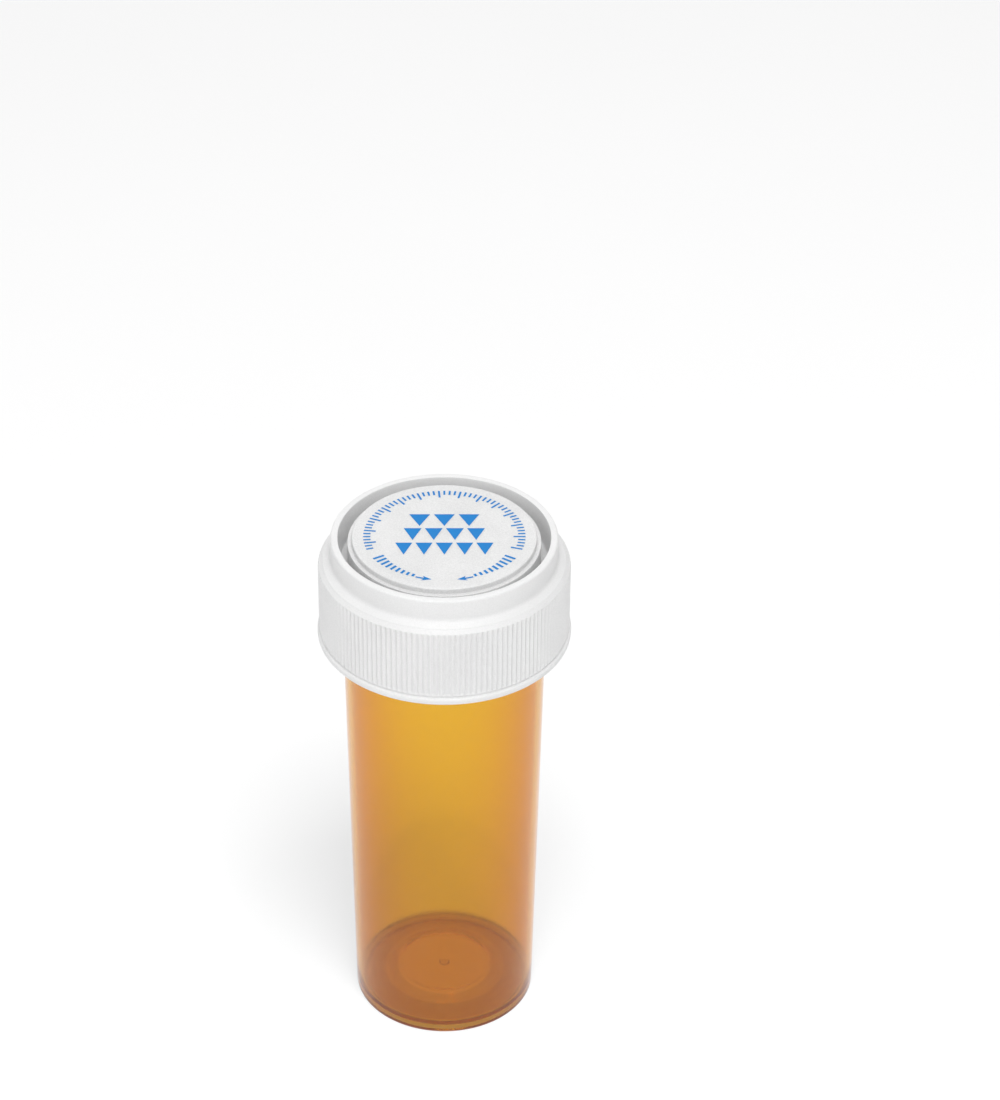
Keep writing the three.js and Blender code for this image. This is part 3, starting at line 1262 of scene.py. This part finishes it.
@dataclass
class PrintedFace:
    """The blue print on the plug: plain marks to press and turn, with no lettering.

    Attributes:
        low: height of the face that it is printed on.
        thickness: thickness of the ink.
        scale_start: angle of the scale's first tick, from the right.
        long_every: how many ticks there are from one long tick to the next.
        short_by: how much shorter the others are.
        arrow_tip: angle from the front to an arrow's tip.
        arrow_line: width of an arrow's line.
        head_notch: how far back the head's notch lies, as a share of its length.
        fan_start: angle from the front to the first bar behind an arrow.
        fan_least: length of that bar, as a share of the last one's.
        mark_share: width of a bold mark, as a share of its place in the row.
        shapes: the outlines drawn so far, each as points in turn.
    """

    low: float
    thickness: float = 0.02 * MM
    tick_inner: float = 10.95 * MM
    tick_outer: float = 12.85 * MM
    tick_width: float = 0.32 * MM
    tick_pitch: float = math.radians(4.0)
    scale_start: float = math.radians(-17)
    scale_stop: float = math.radians(197)
    long_every: int = 4
    short_by: float = 0.75 * MM
    arrow_radius: float = 12.2 * MM
    arrow_tip: float = math.radians(9.5)
    arrow_tail: float = math.radians(21.5)
    arrow_line: float = 0.3 * MM
    arrow_steps: int = 24
    head_length: float = 1.5 * MM
    head_half_width: float = 0.6 * MM
    head_notch: float = 0.75
    fan_start: float = math.radians(24)
    fan_stop: float = math.radians(60)
    fan_count: int = 9
    fan_width: float = 0.42 * MM
    fan_least: float = 0.35
    row_heights: tuple[float, ...] = (4.42 * MM, 0.47 * MM, -3.6 * MM)
    row_widths: tuple[float, ...] = (11.8 * MM, 13.4 * MM, 16.0 * MM)
    row_counts: tuple[int, ...] = (3, 4, 5)
    mark_height: float = 3.3 * MM
    mark_share: float = 0.84
    shapes: list[list[tuple[float, float]]] = field(default_factory=list)

    def polar(self, radius: float, angle: float) -> tuple[float, float]:
        """Gives the point at a radius and an angle from the right."""
        return radius * math.cos(angle), radius * math.sin(angle)

    def add_ticks(self) -> None:
        """Draws a ring of scale ticks, with a long one at every fourth place."""
        count = round((self.scale_stop - self.scale_start) / self.tick_pitch)
        for i in range(count + 1):
            angle = self.scale_start + (self.scale_stop - self.scale_start) * i / count
            inner = self.tick_inner if i % self.long_every == 0 else self.tick_inner + self.short_by
            self.add_bar(angle, inner, self.tick_outer, self.tick_width)

    def add_bar(self, angle: float, inner: float, outer: float, width: float) -> None:
        """Draws one straight mark that points away from the centre.

        Args:
            angle: its angle from the right.
            inner: its inner end.
            outer: its outer end.
            width: its width.
        """
        lean_in, lean_out = width / 2 / inner, width / 2 / outer
        self.shapes.append([
            self.polar(inner, angle - lean_in),
            self.polar(outer, angle - lean_out),
            self.polar(outer, angle + lean_out),
            self.polar(inner, angle + lean_in),
        ])

    def add_fan(self, side: int) -> None:
        """Draws the marks behind an arrow, which grow towards its tail's far end.

        Args:
            side: -1 for the marks on the left, 1 for those on the right.
        """
        middle = (self.tick_inner + self.tick_outer) / 2
        for i in range(self.fan_count):
            share = i / (self.fan_count - 1)
            angle = FRONT + side * (self.fan_start + (self.fan_stop - self.fan_start) * share)
            length = self.fan_least + (1 - self.fan_least) * share
            half = length * (self.tick_outer - self.tick_inner) / 2
            self.add_bar(angle, middle - half, middle + half, self.fan_width)

    def add_arrow(self, side: int) -> None:
        """Draws a curved arrow that points to the front of the disc.

        Args:
            side: -1 for the arrow on the left, 1 for the one on the right.
        """
        tip = FRONT + side * self.arrow_tip
        head = tip + side * self.head_length / self.arrow_radius
        notch = tip + side * self.head_notch * self.head_length / self.arrow_radius
        tail = FRONT + side * self.arrow_tail
        shape = [
            self.polar(self.arrow_radius, tip),
            self.polar(self.arrow_radius + self.head_half_width, head),
            self.polar(self.arrow_radius, notch),
            self.polar(self.arrow_radius - self.head_half_width, head),
        ]
        self.shapes.append(shape[::-side])
        half, steps = self.arrow_line / 2, self.arrow_steps
        sweep = [notch + (tail - notch) * i / steps for i in range(steps + 1)]
        outer = [self.polar(self.arrow_radius + half, a) for a in sweep]
        inner = [self.polar(self.arrow_radius - half, a) for a in sweep]
        self.shapes.append((outer + inner[::-1])[::side])

    def add_rows(self) -> None:
        """Draws three rows of bold marks that point down."""
        for height, width, count in zip(self.row_heights, self.row_widths, self.row_counts):
            pitch = width / count
            for i in range(count):
                middle = (i + 0.5) * pitch - width / 2
                half, rise = self.mark_share * pitch / 2, self.mark_height / 2
                self.shapes.append([
                    (middle - half, height + rise),
                    (middle, height - rise),
                    (middle + half, height + rise),
                ])

    def build(self) -> bpy.types.Object:
        """Builds the ink as thin raised shapes.

        Returns:
            The piece.
        """
        self.add_ticks()
        for side in (-1, 1):
            self.add_arrow(side)
            self.add_fan(side)
        self.add_rows()
        vertices: list[Point] = []
        faces: list[tuple[int, ...]] = []
        for shape in self.shapes:
            first, count = len(vertices), len(shape)
            vertices += [(x, y, self.low) for x, y in shape]
            vertices += [(x, y, self.low + self.thickness) for x, y in shape]
            faces.append(tuple(first + count + i for i in range(count)))
            faces.append(tuple(first + i for i in reversed(range(count))))
            for i in range(count):
                j = (i + 1) % count
                faces.append((first + i, first + j, first + count + j, first + count + i))
        return mesh_object("printed_marks", vertices, faces)

    def dress(self, piece: bpy.types.Object, finish: bpy.types.Material) -> None:
        """Puts the ink on the cap's body."""
        place_piece(piece, finish, Body.CAP)


# ---------- stage, light and camera ----------


@dataclass(frozen=True)
class SoftLight:
    """A large soft lamp.

    Attributes:
        name: its name.
        place: where it stands.
        aim: the point that it faces.
        size: the side of its square.
        power: its power in watts.
    """

    name: str
    place: Point
    aim: Point
    size: float
    power: float

    def build(self) -> bpy.types.Object:
        """Builds the lamp.

        Returns:
            The lamp's object.
        """
        lamp = bpy.data.lights.new(self.name, "AREA")
        lamp.size = self.size
        lamp.energy = self.power
        made = link_object(self.name, lamp)
        made.location = self.place
        facing = np.array(self.aim) - np.array(self.place)
        yaw = math.atan2(facing[1], facing[0]) - math.pi / 2
        pitch = math.atan2(facing[2], math.hypot(facing[0], facing[1]))
        made.rotation_euler = (math.pi / 2 + pitch, 0.0, yaw)
        return made


@dataclass(frozen=True)
class Studio:
    """A white table under a white sky that is dimmer at its sides, with one soft lamp high in front.

    Attributes:
        floor_size: side of the square table.
        floor_gap: how far it lies under the standing face.
        light_bounces: how often light may bounce, which total reflection in the tube's foot needs.
        floor_colour: the table's colour.
        floor_shade: the colour of its faint grain.
        sky_colour: the sky's colour.
        sky_strength: its brightness overhead.
        sky_sides: how bright its sides are, as a share of that.
        sky_lean: how much further the right side's dimness reaches than the left's.
        lamps: the soft lamps.
    """

    floor_size: float = 4.0
    floor_gap: float = 0.02 * MM
    light_bounces: int = 28
    floor_colour: Colour = (0.97, 0.97, 0.97, 1.0)
    floor_shade: Colour = (0.95, 0.95, 0.95, 1.0)
    sky_colour: Colour = (1.0, 1.0, 1.0, 1.0)
    sky_strength: float = 1.0
    sky_sides: float = 0.15
    sky_lean: float = 0.15
    lamps: tuple[SoftLight, ...] = (
        SoftLight("key_light", (0.07, -0.34, 0.90), (0.0, 0.0, 0.04), 0.36, 3.4),
    )

    def build_floor(self) -> bpy.types.Object:
        """Builds the table top with a faint grain.

        Returns:
            The table top.
        """
        half = self.floor_size / 2
        low = -self.floor_gap
        ring = [(-half, -half, low), (half, -half, low), (half, half, low), (-half, half, low)]
        made = mesh_object("table_top", ring, [(0, 1, 2, 3)])
        paper = Finish(
            name="table_white",
            colour=self.floor_colour,
            cloud_colour=self.floor_shade,
            roughness=0.8,
            variation=0.05,
            grain_scale=1200.0,
            grain_depth=0.01 * MM,
            cloud_scale=8.0,
        )
        made.data.materials.append(paper.build())
        return made

    def build_sky(self) -> None:
        """Lights the scene from all round, less from its sides."""
        world = bpy.data.worlds.new("even_sky")
        world.use_nodes = True
        tree = Tree(world.node_tree)
        background = world.node_tree.nodes["Background"]
        background.inputs["Color"].default_value = self.sky_colour
        split = tree.add("ShaderNodeSeparateXYZ")
        tree.link(tree.add("ShaderNodeTexCoord").outputs["Generated"], split.inputs[0])
        leaning = tree.combine("ADD", split.outputs["X"], self.sky_lean)
        aside = tree.combine("MULTIPLY", split.outputs["X"], leaning)
        limits = {"To Min": self.sky_strength, "To Max": self.sky_strength * self.sky_sides}
        shade = tree.add("ShaderNodeMapRange", limits)
        tree.link(aside, shade.inputs["Value"])
        tree.link(shade.outputs["Result"], background.inputs["Strength"])
        bpy.context.scene.world = world

    def build(self) -> None:
        """Builds the table, the sky and the lamps."""
        self.build_floor()
        self.build_sky()
        for lamp in self.lamps:
            lamp.build()
        scene = bpy.context.scene
        scene.view_settings.view_transform = "Standard"
        scene.cycles.max_bounces = self.light_bounces
        scene.cycles.glossy_bounces = self.light_bounces
        scene.cycles.transmission_bounces = self.light_bounces


@dataclass(frozen=True)
class Viewpoint:
    """The camera, level from side to side and tilted down at the vial.

    Attributes:
        place: where it stands.
        tilt: how far it looks down.
        lens: its focal length, in millimetres.
        sensor: width of its sensor, in millimetres.
        shift_x: how far its picture is shifted to the right.
        shift_y: how far its picture is shifted up.
        nearest: the least distance that it shows.
    """

    place: Point = (0.0, -466.26 * MM, 409.13 * MM)
    tilt: float = math.radians(35.32)
    lens: float = 116.73
    sensor: float = 36.0
    shift_x: float = 0.0506
    shift_y: float = 0.0467
    nearest: float = 10.0 * MM

    def build(self) -> bpy.types.Object:
        """Builds the camera and makes it the scene's own.

        Returns:
            The camera's object.
        """
        camera = bpy.data.cameras.new("camera")
        camera.lens = self.lens
        camera.sensor_width = self.sensor
        camera.shift_x = self.shift_x
        camera.shift_y = self.shift_y
        camera.clip_start = self.nearest
        made = link_object("camera", camera)
        made.location = self.place
        made.rotation_euler = (math.pi / 2 - self.tilt, 0.0, 0.0)
        bpy.context.scene.camera = made
        return made


def main() -> None:
    """Builds the studio, the vial and its cap."""
    logging.basicConfig(level=logging.INFO, format="%(name)s: %(message)s")
    moulded_surface_group()
    Studio().build()
    Viewpoint().build()
    vial_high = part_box("vial_body")[1]
    shell_low, shell_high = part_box("cap_shell")
    plug_low, plug_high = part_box("plug_disc")
    seal_low, seal_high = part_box("spring_seal")
    tube = VialBody(rim_height=vial_high.z, lug_radius=vial_high.y, skirt_bottom=shell_low.z)
    tube.dress(tube.build(), AMBER.build())
    shell = CapShell(bottom=shell_low.z, top=shell_high.z, flange_radius=shell_high.x)
    shell.dress(shell.build(), WHITE.build())
    plug = PlugDisc(radius=plug_high.x, bottom=plug_low.z, top=plug_high.z)
    plug.dress(plug.build(), PLUG.build())
    seal = SpringSeal(outer=seal_high.x, bottom=seal_low.z, top=seal_high.z)
    seal.dress(seal.build(), SEAL.build())
    marks = PrintedFace(low=plug.face_height)
    marks.dress(marks.build(), INK.build())


if __name__ == "__main__":
    main()
